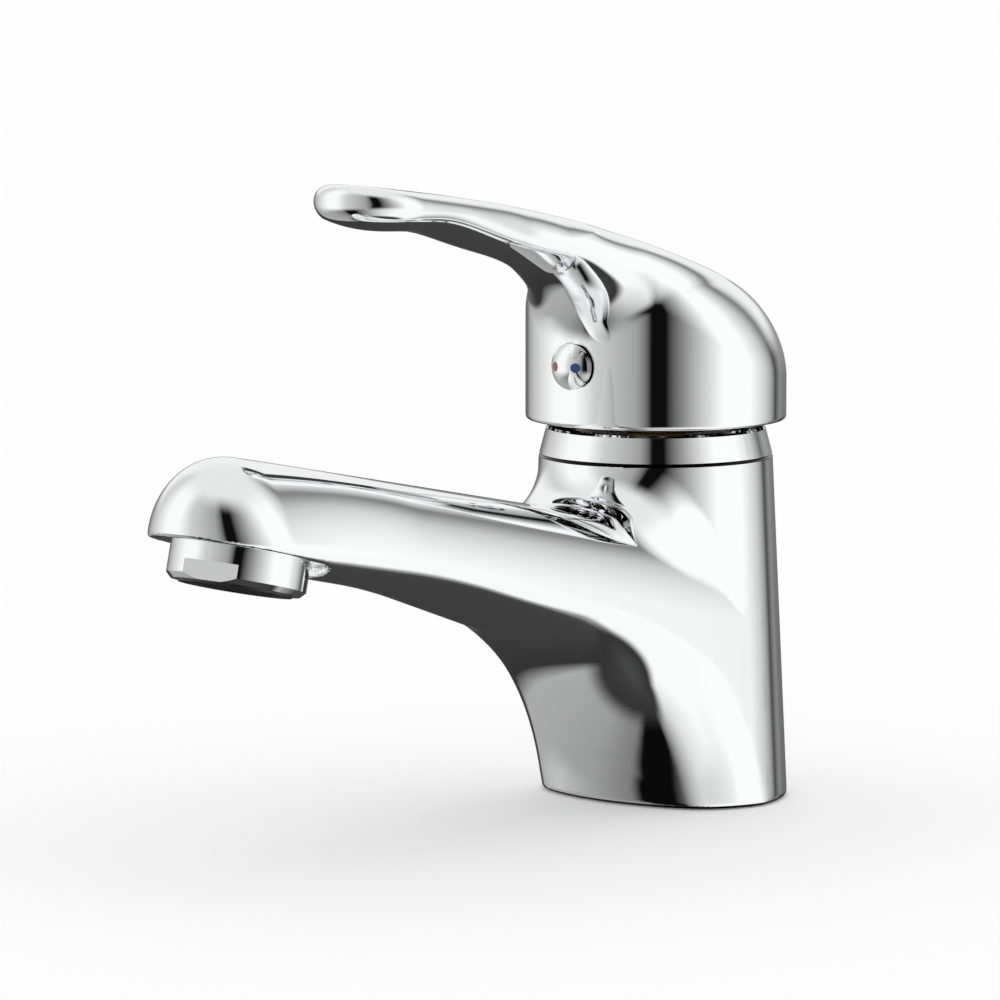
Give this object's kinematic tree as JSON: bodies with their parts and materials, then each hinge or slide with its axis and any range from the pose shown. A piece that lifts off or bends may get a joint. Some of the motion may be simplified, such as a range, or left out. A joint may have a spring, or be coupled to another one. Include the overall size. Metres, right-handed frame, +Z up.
{
  "type": "single-lever basin mixer faucet",
  "caption": "Chrome single-lever basin mixer: cast body with sloping spout, lever on a ceramic-disc cartridge, tilted aerator, threaded inlets and stud hole below.",
  "frame": {"origin": "centre of the cartridge axis in the deck plane, on the underside of the base", "axes": "+Z up along the cartridge axis; -Y the direction the spout and the lever point; X across, +X to the right of the spout's own left-hot right-cold symmetry plane"},
  "size_m": [0.0526, 0.1661, 0.1268],
  "materials": {
    "chrome": "polished chrome plating on cast metal",
    "brass": "machined",
    "steel": "bright stainless steel",
    "ceramic": "lapped alumina ceramic",
    "cartridge_plastic": "moulded",
    "rotor_plastic": "moulded",
    "aerator_plastic": "moulded",
    "seal_rubber": "matte rubber",
    "hot_enamel": "glossy inlay",
    "cold_enamel": "glossy inlay"
  },
  "bodies": {
    "faucet_body": {"body": "chrome", "base_gasket": "seal_rubber", "cartridge_base": "cartridge_plastic", "port_seals": "seal_rubber", "disc_seals": "seal_rubber", "fixed_disc": "ceramic", "cartridge_housing": "cartridge_plastic", "housing_seal": "seal_rubber", "cartridge_nut": "brass", "cover_ring": "chrome", "cover_ring_seal": "seal_rubber", "aerator_housing": "chrome", "aerator_washer": "seal_rubber", "aerator_cage": "aerator_plastic", "flow_straightener": "aerator_plastic", "aerator_screens": "steel"},
    "rotor": {"cartridge_rotor": "rotor_plastic", "rotor_seal": "seal_rubber", "stem_pin": "steel"},
    "discs": {"disc_carrier": "rotor_plastic", "moving_disc": "ceramic"},
    "lever": {"lever_handle": "chrome", "stem": "brass", "grub_screw": "steel", "index_plug": "chrome", "hot_dot": "hot_enamel", "cold_dot": "cold_enamel"}
  },
  "joints": [
    {"name": "lever_swivel", "type": "hinge", "parent": "faucet_body", "child": "rotor", "pos_m": [0, 0, 0.066], "axis": [0, 0, 1], "range_deg": [-50, 50]},
    {"name": "lever_tilt", "type": "hinge", "parent": "rotor", "child": "lever", "pos_m": [0, 0, 0.066], "axis": [-1, 0, 0], "range_deg": [0, 25]},
    {"name": "disc_slide", "type": "slide", "parent": "rotor", "child": "discs", "axis": [0, -1, 0], "range_m": [0, 0.0066]}
  ],
  "couplings": [
    {"joint": "disc_slide", "follows": "lever_tilt", "m_per_rad": 0.0148}
  ]
}
